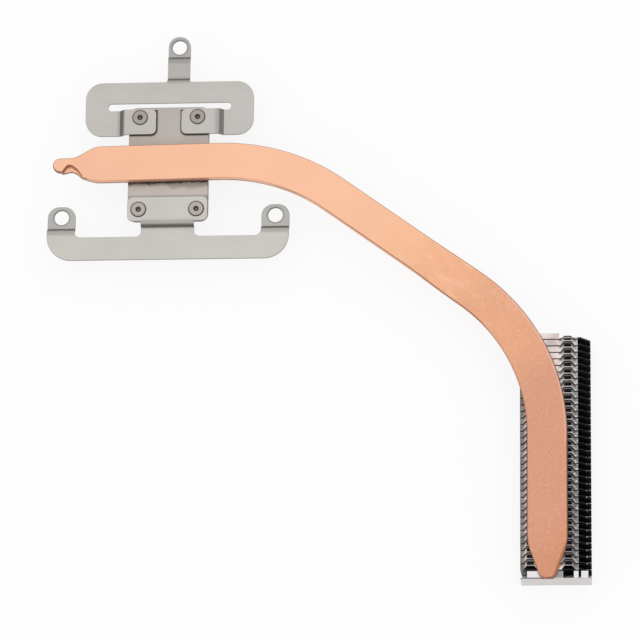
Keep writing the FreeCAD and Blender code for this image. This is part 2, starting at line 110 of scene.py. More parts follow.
# The pipe's mesh: depth of its round rim and of the edge of its flats, how much of that a sharp corner
# allows and how fast it comes back beside one, and the spacing of sections at the crimp and elsewhere
PIPE_ROUND, PIPE_FLAT = 0.20, 0.27
CORNER_ROOM, CORNER_EASE = 0.7, 0.5
FINE_SPACING, COARSE_SPACING = 0.07, 0.45

# Places on the pipe: the second bend's centre, the crushed end, and the nose's right flank,
# along which x less a share of y is even
SECOND_BEND_CENTRE = (29.871, -42.668)
CRUSHED_END_X = -12.6
NOSE_X, NOSE_SLOPE = 57.37, 0.365
NOSE_FLANK = NOSE_X + NOSE_TIP_HALF - NOSE_SLOPE * STACK_END

# Crushed fill end: distance from the pipe's start and half width, along the notch and along the fold
CRIMP_NOTCH = [(1.52, 1.16), (2.34, 0.13), (2.90, 0.17), (3.65, 0.77), (4.15, 1.43), (4.59, 2.12)]
CRIMP_FOLD = [
    (1.40, 1.26), (2.03, 1.17), (2.53, 1.01), (3.03, 1.04), (3.65, 1.33), (4.28, 1.86), (4.60, 2.10),
]
CRIMP_FOLD_THICK, CRIMP_FOLD_LIFT = 0.32, 0.12
CRIMP_WAVE, CRIMP_DROOP = 0.06, 0.10

# Bead of flux: how far it reaches from the pipe, how high it stands, and how much both wander
FLUX_REACH, FLUX_REACH_WANDER, FLUX_LEAST_REACH = 0.16, 0.20, 0.05
FLUX_HEIGHT, FLUX_HEIGHT_WANDER, FLUX_LEAST_HEIGHT = 0.22, 0.10, 0.10

# Fin stack, as in the solids
FIN_COUNT = 36
FINS = [f"fin_{i:02d}" for i in range(1, FIN_COUNT + 1)]
FIN_TOP, FIN_BOTTOM = 1.2, -3.8
STACK_LEFT, STACK_RIGHT, STACK_START = 53.32, 63.72, -28.0
LEFT_TONGUE_X, RIGHT_TONGUE_X = 54.82, 60.42
FLANGE_END_X = 61.92

# Flanges of the fins, which repeat each millimetre: the first fold and, from a fold towards +Y, the end
# of the gap round the tongue that lies in its notch, and a tongue's window, which starts before the next
# fold and ends past it
FIRST_FOLD_Y = -28.096
LAST_FOLD_Y = FIRST_FOLD_Y - (FIN_COUNT - 1)
GAP_END, WINDOW_START, WINDOW_END = 0.62, 0.78, 0.24
WINDOW_HALF_WIDTH = 0.525
TONGUE_TIP_HALF, TONGUE_ROOT_HALF, TONGUE_REACH = 0.5, 1.0, 0.62


class Tree:
    """Small helper that adds nodes to a material and links them."""

    def __init__(self, name):
        self.material = bpy.data.materials.new(name)
        self.material.use_nodes = True
        self.nodes = self.material.node_tree.nodes
        self.links = self.material.node_tree.links
        self.shader = self.nodes["Principled BSDF"]
        place = self.add("ShaderNodeTexCoord")
        to_mm = self.add("ShaderNodeMapping")
        to_mm.inputs["Scale"].default_value = (1 / MM, 1 / MM, 1 / MM)
        self.link(place.outputs["Object"], to_mm.inputs["Vector"])
        self.place = to_mm.outputs["Vector"]
        self.x, self.y, self.z = self.split(self.place)
        self.rightward, self.backward, self.upward = self.split(place.outputs["Normal"])

    def add(self, kind):
        return self.nodes.new(kind)

    def link(self, output, socket):
        self.links.new(output, socket)

    def put(self, value, socket):
        """Links an output, or sets a plain value."""
        if isinstance(value, bpy.types.NodeSocket):
            self.link(value, socket)
        else:
            socket.default_value = value

    def split(self, vector):
        node = self.add("ShaderNodeSeparateXYZ")
        self.link(vector, node.inputs["Vector"])
        return node.outputs["X"], node.outputs["Y"], node.outputs["Z"]

    def math(self, operation, first, second=0.0):
        node = self.add("ShaderNodeMath")
        node.operation = operation
        self.put(first, node.inputs[0])
        self.put(second, node.inputs[1])
        return node.outputs["Value"]

    def times(self, first, *others):
        """Product of masks."""
        for mask in others:
            first = self.math("MULTIPLY", first, mask)
        return first

    def most(self, first, *others):
        """Greatest of masks."""
        for mask in others:
            first = self.math("MAXIMUM", first, mask)
        return first

    def rest(self, mask):
        """Where a mask is off."""
        return self.math("SUBTRACT", 1.0, mask)

    def away(self, value, centre):
        """Distance of a value from a centre, on either side."""
        return self.math("ABSOLUTE", self.math("SUBTRACT", value, centre))

    def length(self, first, second):
        """Length of the long side of a right angle."""
        squares = self.math("MULTIPLY", first, first), self.math("MULTIPLY", second, second)
        return self.math("SQRT", self.math("ADD", *squares))

    def span(self, value, low, high, at_low=0.0, at_high=1.0):
        """Smooth change between two values of an input."""
        node = self.add("ShaderNodeMapRange")
        node.interpolation_type = "SMOOTHSTEP"
        self.link(value, node.inputs["Value"])
        node.inputs["From Min"].default_value = low
        node.inputs["From Max"].default_value = high
        node.inputs["To Min"].default_value = at_low
        node.inputs["To Max"].default_value = at_high
        return node.outputs["Result"]

    def fall(self, value, low, high):
        """1 up to a low value, 0 past a high one."""
        return self.span(value, low, high, 1.0, 0.0)

    def within(self, value, start, full, fade, end):
        """0 up to the start, 1 between full and fade, 0 past the end."""
        return self.times(self.span(value, start, full), self.fall(value, fade, end))

    def band(self, value, centre, near, far):
        """1 within the near distance of a centre, 0 past the far one."""
        return self.fall(self.away(value, centre), near, far)

    def radius(self, x, y, both_sides=True):
        """Distance in plan from a point, or from it and its mirror images in X and Y."""
        dx = self.math("ABSOLUTE", self.x) if both_sides else self.x
        dy = self.math("ABSOLUTE", self.y) if both_sides else self.y
        return self.length(self.math("SUBTRACT", dx, x), self.math("SUBTRACT", dy, y))

    def noise(self, scale, detail=3.0, stretch=(1, 1, 1), turn=0.0):
        """Noise with a number of features per millimetre, stretched along a direction in plan."""
        mapping = self.add("ShaderNodeMapping")
        mapping.vector_type = "TEXTURE"
        mapping.inputs["Scale"].default_value = stretch
        mapping.inputs["Rotation"].default_value = (0.0, 0.0, turn)
        self.link(self.place, mapping.inputs["Vector"])
        node = self.add("ShaderNodeTexNoise")
        node.inputs["Scale"].default_value = scale
        node.inputs["Detail"].default_value = detail
        self.link(mapping.outputs["Vector"], node.inputs["Vector"])
        return node.outputs["Fac"]

    def blend(self, factor, first, second):
        """Mix of two colours."""
        node = self.add("ShaderNodeMix")
        node.data_type = "RGBA"
        self.put(factor, node.inputs["Factor"])
        for value, socket in ((first, node.inputs["A"]), (second, node.inputs["B"])):
            self.put(value if isinstance(value, bpy.types.NodeSocket) else (*value, 1.0), socket)
        return node.outputs["Result"]

    def ramp(self, value, stops):
        """Colour ramp over an input, with stops (input, colour)."""
        low, high = stops[0][0], stops[-1][0]
        fraction = self.add("ShaderNodeMapRange")
        self.link(value, fraction.inputs["Value"])
        fraction.inputs["From Min"].default_value = low
        fraction.inputs["From Max"].default_value = high
        node = self.add("ShaderNodeValToRGB")
        elements = node.color_ramp.elements
        elements[0].position = 0.0
        elements[1].position = 1.0
        for at, _ in stops[1:-1]:
            elements.new((at - low) / (high - low))
        for element, (_, colour) in zip(elements, stops):
            element.color = (*colour, 1.0)
        self.link(fraction.outputs["Result"], node.inputs["Fac"])
        return node.outputs["Color"]

    def scaled(self, colour, factor):
        """Colour times a grey factor."""
        node = self.add("ShaderNodeVectorMath")
        node.operation = "SCALE"
        self.put(colour, node.inputs[0])
        self.put(factor, node.inputs["Scale"])
        return node.outputs["Vector"]

    def stain(self, colour, mask, strength, tint):
        """Colour with a tint where a mask is on."""
        return self.blend(self.math("MULTIPLY", mask, strength), colour, tint)

    def bump(self, height, strength, distance):
        node = self.add("ShaderNodeBump")
        node.inputs["Strength"].default_value = strength
        node.inputs["Distance"].default_value = distance * MM
        self.link(height, node.inputs["Height"])
        self.link(node.outputs["Normal"], self.shader.inputs["Normal"])

    def dull(self, mask):
        """Takes the gloss off where a mask is on, and gives the metallic value that goes with it."""
        shine = self.rest(mask)
        self.link(self.math("MULTIPLY", shine, 0.5), self.shader.inputs["Specular IOR Level"])
        return shine

    def finish(self, colour, roughness, metallic=1.0):
        self.put(colour, self.shader.inputs["Base Color"])
        self.put(roughness, self.shader.inputs["Roughness"])
        self.put(metallic, self.shader.inputs["Metallic"])
        return self.material


def copper():
    """Bare copper: pale over the plate, duller and mottled towards the fins, with painted shade along
    its sides and a painted highlight inside the second bend.
    """
    tree = Tree("bare_copper")
    along = tree.math("SUBTRACT", tree.x, tree.y)
    tone = tree.ramp(along, [
        (38.0, (0.890, 0.508, 0.338)),
        (50.0, (0.875, 0.490, 0.300)),
        (59.0, (0.855, 0.450, 0.275)),
        (70.0, (0.775, 0.395, 0.242)),
        (82.0, (0.765, 0.388, 0.236)),
        (91.0, (0.680, 0.332, 0.218)),
        (113.0, (0.680, 0.332, 0.216)),
        (119.0, (0.655, 0.302, 0.183)),
    ])
    clouds = tree.noise(0.12, 3.0)
    tone = tree.scaled(tone, tree.span(clouds, 0.35, 0.65, 0.985, 1.015))

    # Mottled and pitted towards the fins, scuffed on the diagonal
    worn = tree.span(along, 55.0, 72.0)
    scuffed = tree.within(along, 44.0, 56.0, 66.0, 84.0)
    mottle = tree.noise(3.2, 4.0)
    pits = tree.noise(4.5, 2.0)
    scuffs = tree.noise(0.7, 5.0, (1.8, 0.9, 1.0), -math.radians(DIAGONAL_ANGLE))
    marks = [
        (tree.span(mottle, 0.54, 0.70), worn, 0.20, (0.46, 0.21, 0.12)),
        (tree.span(mottle, 0.46, 0.32), worn, 0.22, (0.92, 0.58, 0.42)),
        (tree.span(pits, 0.64, 0.72), worn, 0.40, (0.40, 0.18, 0.10)),
        (tree.span(scuffs, 0.52, 0.68), scuffed, 0.35, (0.93, 0.60, 0.44)),
        (tree.span(scuffs, 0.44, 0.30), scuffed, 0.30, (0.66, 0.36, 0.20)),
    ]
    for mark, where, strength, tint in marks:
        tone = tree.stain(tone, tree.times(mark, where), strength, tint)

    # Painted highlight: a pale line inside the second bend's outer edge
    from_bend = tree.radius(*SECOND_BEND_CENTRE, both_sides=False)
    outer = SECOND_BEND_RADIUS + flat_width(PIPE_FIN_THICK) / 2
    pale = tree.times(tree.span(from_bend, outer - 0.42, outer - 0.32),
                      tree.span(along, 66.0, 76.0), tree.span(tree.y, -45.0, -42.0))
    tone = tree.stain(tone, pale, 0.42, (0.90, 0.56, 0.50))

    # Painted shade on the round rim, without gloss: faint over the plate's front and inside the second
    # bend
    front_rim_shade = tree.math("ADD", tree.span(along, 20.0, 40.0, 0.12, 0.75),
                          tree.span(tree.x, CRUSHED_END_X, CRUSHED_END_X + 0.8, 0.65, 0.0))
    back_rim_shade = tree.span(tree.backward, -0.05, 0.10, 0.0, 0.70)
    inner_side = tree.times(tree.fall(tree.rightward, -0.3, 0.0), tree.span(along, 72.0, 77.0))
    rim = tree.times(tree.within(tree.upward, 0.20, 0.45, 0.90, 0.985), tree.most(front_rim_shade, back_rim_shade),
                     tree.rest(tree.math("MULTIPLY", inner_side, 0.8)))
    tone = tree.stain(tone, rim, 1.0, (0.17, 0.06, 0.035))

    # Painted shade, without gloss, at the foot of the steep sides
    middle = PLATE_TOP + PIPE_PLATE_THICK / 2
    foot_shade_strength = tree.math("ADD", tree.span(along, 12.0, 32.0, 0.85, 0.25),
                              tree.span(along, 72.0, 84.0, 0.0, 0.6))
    foot_shade = tree.times(tree.fall(tree.upward, 0.20, 0.45), tree.fall(tree.z, middle, middle + 0.4),
                      foot_shade_strength)
    tone = tree.stain(tone, foot_shade, 1.0, (0.20, 0.075, 0.04))

    # Painted shade on the crushed end's steep faces and along the nose's right flank
    crushed = tree.times(tree.fall(tree.upward, 0.55, 0.85),
                         tree.fall(tree.x, CRUSHED_END_X, CRUSHED_END_X + 0.4))
    tone = tree.stain(tone, crushed, 0.6, (0.30, 0.10, 0.05))
    across = tree.math("SUBTRACT", tree.x, tree.math("MULTIPLY", tree.y, NOSE_SLOPE))
    flank = tree.times(tree.span(across, NOSE_FLANK - 0.50, NOSE_FLANK - 0.38),
                       tree.span(tree.y, -59.0, -60.2))
    tone = tree.stain(tone, flank, 0.85, (0.44, 0.175, 0.09))

    tree.bump(mottle, 0.10, 0.03)
    roughness = tree.span(mottle, 0.3, 0.7, 0.30, 0.40)
    return tree.finish(tone, roughness, tree.dull(tree.most(rim, foot_shade)))


def stamped_steel():
    """Satin spring steel: a little duller low down, with painted shade in the bends and on cut edges,
    and dark rings round the bosses and holes.
    """
    tree = Tree("stamped_steel")
    grain = tree.noise(2.0, 3.0, (8.0, 0.6, 1.0))
    clouds = tree.noise(0.18, 2.0)
    tone = tree.ramp(tree.y, [
        (-4.0, (0.570, 0.545, 0.512)),
        (4.0, (0.515, 0.490, 0.468)),
        (11.0, (0.525, 0.500, 0.470)),
        (13.0, (0.510, 0.485, 0.455)),
        (13.8, (0.450, 0.428, 0.402)),
        (17.5, (0.430, 0.408, 0.396)),
    ])
    ears = tree.times(tree.fall(tree.z, 0.05, 0.35), tree.fall(tree.y, -4.0, 4.0))
    tone = tree.stain(tone, ears, 1.0, (0.455, 0.443, 0.428))
    tone = tree.scaled(tone, tree.span(clouds, 0.3, 0.7, 0.97, 1.03))
    tone = tree.scaled(tone, tree.span(grain, 0.25, 0.75, 0.985, 1.015))

    # Painted soft shade at each bend, as far as its piece reaches, and darker painted shade wherever the
    # sheet slopes, on bends and cut edges alike
    arms = tree.band(tree.y, ARM_Y, 2.0, 2.5)
    strip = tree.band(tree.x, STRIP_HOLE_X, 1.7, 1.8)
    neck = tree.band(tree.x, 0.0, NECK_HALF_WIDTH - 0.2, NECK_HALF_WIDTH)
    ear_ends = tree.span(tree.math("ABSOLUTE", tree.x), EAR_INNER_X, EAR_INNER_X + 0.3)
    bends = [(tree.band(tree.x, at, 0.1, 0.8), arms) for at in ARM_BENDS_X]
    bends += [
        (tree.band(tree.y, STRIP_BENDS_Y[0], 0.2, 0.75), strip),
        (tree.band(tree.y, STRIP_BENDS_Y[1], 0.2, 0.8), strip),
        (tree.band(tree.y, NECK_BEND_Y, 0.3, 0.9), neck),
        (tree.band(tree.y, EAR_BEND_Y, 0.2, 0.8), ear_ends),
    ]
    for bend, where in bends:
        tone = tree.stain(tone, tree.times(bend, where), 0.42, (0.19, 0.18, 0.17))
    tone = tree.stain(tone, tree.fall(tree.upward, 0.55, 0.985), 0.66, (0.13, 0.12, 0.115))

    # Dark rings: painted shade of the gap round each boss, and darker rings round the screw holes
    rings = [
        (tree.radius(BOSS_X, BOSS_Y), 1.30, 0.55),
        (tree.radius(EAR_HOLE_X, -EAR_HOLE_Y), 1.45, 0.45),
        (tree.radius(STRIP_HOLE_X, STRIP_HOLE_Y, both_sides=False), 1.45, 0.45),
    ]
    for distance, outside, strength in rings:
        tone = tree.stain(tone, tree.fall(distance, 1.20, outside), strength, (0.09, 0.08, 0.075))
    tree.bump(grain, 0.05, 0.01)
    return tree.finish(tone, tree.span(clouds, 0.3, 0.7, 0.36, 0.44))


def plated_copper():
    """Plated cold plate: warm satin grey, with painted contact shadow and grime round the tabs, painted
    shade at the bosses, browned beside the pipe and partly painted shadow in front of it.
    """
    tree = Tree("plated_copper")
    clouds = tree.noise(0.22, 3.0)
    to_back = tree.span(tree.y, -3.0, 3.0)
    tone = tree.blend(to_back, (0.520, 0.474, 0.440), (0.468, 0.424, 0.394))
    tone = tree.scaled(tone, tree.span(clouds, 0.35, 0.65, 0.96, 1.04))

    # Ragged heat marks behind the pipe; in front of it a darker band, partly burnt flux and partly
    # painted shadow of the pipe's side
    ragged = tree.math("ADD", tree.y, tree.span(tree.noise(0.35, 3.0), 0.25, 0.75, -0.5, 0.5))
    tone = tree.stain(tone, tree.within(ragged, 2.4, 3.0, 3.2, 4.8), 0.28, (0.36, 0.28, 0.22))
    tone = tree.stain(tone, tree.within(ragged, -3.9, -3.2, -2.9, -2.5), 0.45, (0.20, 0.15, 0.125))

    # Painted contact shadow and grime along the brackets' tabs, round their corners
    out = tree.math("ADD", tree.math("SUBTRACT", TAB_INNER, tree.math("ABSOLUTE", tree.x)), TAB_CORNER)
    below = tree.math("ADD", tree.math("SUBTRACT", TAB_LOW, tree.y), TAB_CORNER)
    from_corner = tree.length(tree.most(out, 0.0), tree.most(below, 0.0))
    from_tab = tree.math("SUBTRACT", from_corner, TAB_CORNER)
    darkening = tree.times(tree.fall(from_tab, 0.08, 0.36), tree.fall(tree.y, 8.50, 8.58))
    tone = tree.stain(tone, darkening, 0.90, (0.06, 0.045, 0.04))
    # Painted shadow just above the lower tab's top edge
    from_low_tab = tree.math("SUBTRACT", tree.y, LOW_TAB_HIGH)
    tone = tree.stain(tone, tree.fall(from_low_tab, 0.0, 0.5), 0.50, (0.16, 0.14, 0.13))

    # Staked bosses: head tone, then painted shade in the gap at the head's rim and in the punch mark
    from_boss = tree.radius(BOSS_X, BOSS_Y)
    head = tree.times(tree.fall(from_boss, 1.25, 1.30),
                      tree.span(tree.z, BRACKET_TOP - 0.05, BRACKET_TOP))
    head_tone = tree.blend(to_back, (0.450, 0.408, 0.384), (0.378, 0.346, 0.328))
    tone = tree.stain(tone, head, 1.0, head_tone)
    rim = tree.times(head, tree.span(from_boss, 0.95, 1.08))
    tone = tree.stain(tone, rim, 0.70, (0.06, 0.054, 0.05))
    tone = tree.stain(tone, tree.fall(from_boss, 0.38, 0.52), 0.90, (0.180, 0.157, 0.150))
    # Painted shade on every sloped face
    tone = tree.stain(tone, tree.fall(tree.upward, 0.35, 0.97), 0.80, (0.09, 0.08, 0.075))
    tree.bump(tree.noise(4.0, 3.0), 0.06, 0.01)
    return tree.finish(tone, tree.span(clouds, 0.3, 0.7, 0.38, 0.46))


def folded_aluminium():
    """Thin folded sheet: satin flanges, darker where the tongues lock, with painted highlights and shade
    there, and webs painted near black and without gloss as shade in the gaps.
    """
    tree = Tree("folded_aluminium")
    patches = tree.noise(0.6, 3.0, (1.6, 1.0, 1.0))
    tone = tree.ramp(tree.x, [
        (53.5, (0.230, 0.205, 0.200)),
        (53.9, (0.300, 0.265, 0.255)),
        (54.1, (0.690, 0.600, 0.570)),
        (56.0, (0.720, 0.620, 0.590)),
        (59.4, (0.720, 0.620, 0.590)),
        (60.6, (0.300, 0.275, 0.270)),
        (61.3, (0.480, 0.445, 0.440)),
    ])
    tone = tree.scaled(tone, tree.span(patches, 0.35, 0.65, 0.75, 1.15))
    right_lock = tree.span(tree.x, 60.2, 60.6)
    # Darker towards the front over the right lock
    darker_towards_front = tree.times(right_lock, tree.span(tree.y, -32.0, -42.0))
    tone = tree.stain(tone, darker_towards_front, 0.60, (0.100, 0.092, 0.090))
    # Painted glints: light flecks over the right lock
    painted_glints = tree.times(tree.span(tree.noise(2.6, 2.0), 0.56, 0.64), right_lock)
    tone = tree.stain(tone, painted_glints, 0.70, (0.700, 0.670, 0.670))

    # Tongues: darker along each column of them; painted shade as a dark rim inside the window and a
    # painted highlight before it, then wings with a painted highlight beside the seam on one side and
    # painted shade on the other
    below_top = tree.fall(tree.z, FIN_TOP - 0.15, FIN_TOP - 0.04)
    on_top = tree.rest(below_top)
    stack_y = tree.math("SUBTRACT", tree.y, FIRST_FOLD_Y)
    from_fold = tree.math("FRACT", stack_y)
    before_window = tree.within(from_fold, GAP_END - 0.04, GAP_END, WINDOW_START, WINDOW_START + 0.04)
    inner_rim = tree.fall(from_fold, WINDOW_END + 0.06, WINDOW_END + 0.12)
    fading = tree.span(tree.y, -54.0, -40.0, 0.45, 1.0)
    patchy = tree.span(patches, 0.38, 0.60, 0.45, 1.0)
    tongues = [(LEFT_TONGUE_X, 0.45, 0.75, 1.05), (RIGHT_TONGUE_X, 0.55, 0.95, 1.45)]
    for centre, dark_full, dark_end, wing_end in tongues:
        away = tree.away(tree.x, centre)
        darkening = tree.times(tree.fall(away, dark_full, dark_end), on_top)
        tone = tree.stain(tone, darkening, 0.78, (0.10, 0.095, 0.095))
        middle = tree.times(on_top, tree.fall(away, WINDOW_HALF_WIDTH - 0.10, WINDOW_HALF_WIDTH + 0.05))
        tone = tree.stain(tone, tree.times(middle, inner_rim), 0.9, (0.02, 0.018, 0.018))
        glimmer = tree.times(middle, before_window, fading, patchy)
        tone = tree.stain(tone, glimmer, 0.9, (0.52, 0.49, 0.49))
        slant = tree.span(away, TONGUE_TIP_HALF, TONGUE_ROOT_HALF, TONGUE_REACH, 0.0)
        from_seam = tree.math("FRACT", tree.math("SUBTRACT", stack_y, slant))
        wing = tree.times(tree.within(away, 0.40, 0.60, wing_end - 0.3, wing_end), on_top)
        lit = tree.times(wing, fading, tree.fall(from_seam, 0.08, 0.36))
        tone = tree.stain(tone, lit, 0.70, (0.80, 0.75, 0.745))
        shaded = tree.times(wing, tree.span(from_seam, 0.38, 0.78))
        tone = tree.stain(tone, shaded, 0.7, (0.05, 0.046, 0.046))

    # Painted shade: the gaps and the outlet side near black and without gloss, but for the bare outer
    # faces, the last bay's open end and a few painted glints
    outlet = tree.span(tree.x, FLANGE_END_X, FLANGE_END_X + 0.05)
    glint = tree.times(tree.within(tree.x, 63.00, 63.08, 63.16, 63.24),
                       tree.span(tree.upward, 0.3, 0.45), tree.span(tree.y, -38.0, -60.0))
    left_side = tree.fall(tree.rightward, -0.6, -0.4)
    underside = tree.times(tree.fall(tree.upward, -0.6, -0.4),
                           tree.fall(tree.z, FIN_BOTTOM + 0.10, FIN_BOTTOM + 0.15))
    back_side = tree.times(tree.span(tree.y, STACK_START - 0.05, STACK_START - 0.02), below_top,
                           tree.span(tree.upward, 0.4, 0.6, 1.0, 0.25))
    last_bay = tree.times(tree.fall(tree.x, STACK_LEFT + 0.58, STACK_LEFT + 0.88),
                          tree.span(tree.y, LAST_FOLD_Y + 0.046, LAST_FOLD_Y + 0.006))
    bare = tree.most(left_side, underside, back_side, glint, last_bay)
    painted_gap_shade = tree.times(tree.most(outlet, below_top), tree.rest(bare))
    tone = tree.stain(tone, painted_gap_shade, 0.97, (0.010, 0.010, 0.011))
    tree.bump(tree.noise(3.0, 2.0), 0.08, 0.01)
    roughness = tree.span(patches, 0.3, 0.7, 0.36, 0.46)
    return tree.finish(tone, roughness, tree.dull(painted_gap_shade))


def bright_aluminium():
    """Fresh aluminium of the end plate, with a painted highlight on its tabs' tops, one of them hollow
    and darker over its right part, and painted shade along the fold.
    """
    tree = Tree("bright_aluminium")
    grain = tree.noise(2.0, 3.0, (6.5, 1.0, 0.7))
    tone = tree.blend(tree.span(grain, 0.3, 0.7), (0.58, 0.54, 0.54), (0.68, 0.64, 0.64))
    # Painted highlight on the tabs' flat tops, and one tab darker over its right part
    tabs = tree.times(tree.span(tree.upward, 0.8, 0.95),
                      tree.span(tree.y, STACK_END + 0.20, STACK_END + 0.28))
    tone = tree.stain(tone, tabs, 0.9, (0.80, 0.78, 0.79))
    hollow = tree.times(tabs, tree.within(tree.x, 57.4, 58.2, 59.7, 59.9))
    tone = tree.stain(tone, hollow, 0.85, (0.27, 0.25, 0.245))
    # Painted shade along the fold, on its left part
    front = tree.within(tree.y, STACK_END + 0.04, STACK_END + 0.12, STACK_END + 0.24, STACK_END + 0.30)
    fold = tree.times(front, tree.fall(tree.x, 56.8, 57.2))
    tone = tree.stain(tone, fold, 0.8, (0.10, 0.09, 0.09))
    tree.bump(grain, 0.08, 0.01)
    return tree.finish(tone, tree.span(grain, 0.3, 0.7, 0.28, 0.36))


def flux_resin():
    """Burnt flux beside the solder joint: dark, with paler crumbs."""
    tree = Tree("flux_resin")
    crumbs = tree.span(tree.noise(2.6, 3.0), 0.60, 0.68)
    tone = tree.blend(crumbs, (0.022, 0.012, 0.009), (0.17, 0.12, 0.095))
    tree.bump(tree.noise(3.0, 3.0), 0.4, 0.05)
    return tree.finish(tone, tree.span(crumbs, 0.0, 1.0, 0.35, 0.7), 0.0)


def dress(nodes):
    """Gives each solid its material and slightly broken edges."""
    steel = stamped_steel()
    fins = folded_aluminium()
    looks = {
        "base_plate": (plated_copper(), 0.06),
        "upper_bracket": (steel, 0.08),
        "lower_bracket": (steel, 0.08),
        "end_plate": (bright_aluminium(), 0.03),
    }
    looks.update({name: (fins, None) for name in FINS})
    whole = whole_mesh()
    for name, (material, edge) in looks.items():
        node = nodes[name]
        node.material_slots[0].material = material
        if edge is None:
            continue
        node.modifiers.new("whole", "NODES").node_group = whole
        flats = node.modifiers.new("flats", "DECIMATE")
        flats.decimate_type = "DISSOLVE"
        flats.angle_limit = FLAT_ANGLE
        bevel = node.modifiers.new("edges", "BEVEL")
        bevel.width = edge * MM
        bevel.segments = 3
        bevel.limit_method = "ANGLE"
        bevel.angle_limit = EDGE_ANGLE
        bevel.harden_normals = True
        bevel.loop_slide = False
        even = node.modifiers.new("even", "WEIGHTED_NORMAL")
        even.keep_sharp = True


def whole_mesh():
    """Node group that joins a solid's faces into one skin, smooth but for its real edges."""
    group = bpy.data.node_groups.new("whole_mesh", "GeometryNodeTree")
    group.interface.new_socket("Geometry", in_out="INPUT", socket_type="NodeSocketGeometry")
    group.interface.new_socket("Geometry", in_out="OUTPUT", socket_type="NodeSocketGeometry")
    start = group.nodes.new("NodeGroupInput")
    end = group.nodes.new("NodeGroupOutput")
    weld = group.nodes.new("GeometryNodeMergeByDistance")
    weld.inputs["Distance"].default_value = WELD_DISTANCE
    normals = group.nodes.new("GeometryNodeSetMeshNormal")
    normals.mode = "SHARPNESS"
    normals.inputs["Remove Custom"].default_value = True
    angle = group.nodes.new("GeometryNodeInputMeshEdgeAngle")
    sharp = group.nodes.new("FunctionNodeCompare")
    sharp.operation = "GREATER_THAN"
    sharp.inputs["B"].default_value = EDGE_ANGLE
    group.links.new(start.outputs["Geometry"], weld.inputs["Geometry"])
    group.links.new(weld.outputs["Geometry"], normals.inputs["Mesh"])
    group.links.new(angle.outputs["Unsigned Angle"], sharp.inputs["A"])
    group.links.new(sharp.outputs["Result"], normals.inputs["Edge Sharpness"])
    group.links.new(normals.outputs["Mesh"], end.inputs["Geometry"])
    return group


def add_mesh(name, points, faces, material):
    mesh = bpy.data.meshes.new(name)
    mesh.from_pydata([Vector(point) * MM for point in points], [], faces)
    mesh.materials.append(material)
    mesh.polygons.foreach_set("use_smooth", [True] * len(mesh.polygons))
    mesh.update()
    piece = bpy.data.objects.new(name, mesh)
    bpy.context.scene.collection.objects.link(piece)
    return piece


def heading(angle):
    return Vector((math.cos(angle), math.sin(angle)))


def flat_width(thick):
    """Width of the round tube once it is pressed to a thickness, at the same girth."""
    return (math.pi * TUBE_DIAMETER - (math.pi - 2) * thick) / 2


def s_curve(fraction):
    fraction = min(max(fraction, 0.0), 1.0)
    return fraction * fraction * (3 - 2 * fraction)


def along_points(points, at):
    """Value at a place on a line through (place, value) points, softened at its corners."""
    total = 0.0
    reaches = (-0.12, -0.06, 0.0, 0.06, 0.12)
    for reach in reaches:
        place = min(max(at + reach, points[0][0]), points[-1][0])
        for (a, first), (b, last) in zip(points, points[1:]):
            if place <= b:
                total += first + (last - first) * (place - a) / (b - a)
                break
    return total / len(reaches)


